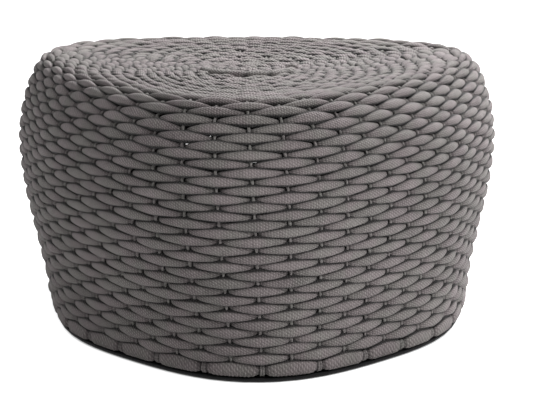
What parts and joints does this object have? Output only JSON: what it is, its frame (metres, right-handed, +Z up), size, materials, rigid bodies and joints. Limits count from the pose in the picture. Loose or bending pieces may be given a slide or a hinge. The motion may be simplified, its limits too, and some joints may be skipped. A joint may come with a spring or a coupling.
{
  "type": "outdoor ottoman footstool",
  "caption": "Low woven-rope footstool: rounded-triangle plan, barrel sides and a flat woven top over a coated metal frame.",
  "frame": {"origin": "on the floor under the middle of the footprint's box", "axes": "+Z up, +X across the width, one rounded corner of the plan towards -Y and a flat side towards +Y"},
  "size_m": [0.7164, 0.708, 0.3806],
  "materials": {
    "rope": "braided, matt",
    "frame_coat": "satin powder coat",
    "glide": "moulded nylon"
  },
  "bodies": {
    "root": {"side_weave": "rope", "top_weave": "rope", "hem_rope": "rope", "base_ring": "frame_coat", "belly_ring": "frame_coat", "top_ring": "frame_coat", "top_hub": "frame_coat", "frame_rib_1": "frame_coat", "frame_rib_2": "frame_coat", "frame_rib_3": "frame_coat", "frame_rib_4": "frame_coat", "frame_rib_5": "frame_coat", "frame_rib_6": "frame_coat", "frame_rib_7": "frame_coat", "frame_rib_8": "frame_coat", "frame_rib_9": "frame_coat", "top_spoke_1": "frame_coat", "top_spoke_2": "frame_coat", "top_spoke_3": "frame_coat", "top_spoke_4": "frame_coat", "top_spoke_5": "frame_coat", "top_spoke_6": "frame_coat", "top_spoke_7": "frame_coat", "top_spoke_8": "frame_coat", "top_spoke_9": "frame_coat", "glide_1": "glide", "glide_2": "glide", "glide_3": "glide", "glide_4": "glide", "glide_5": "glide", "glide_6": "glide"}
  },
  "joints": []
}
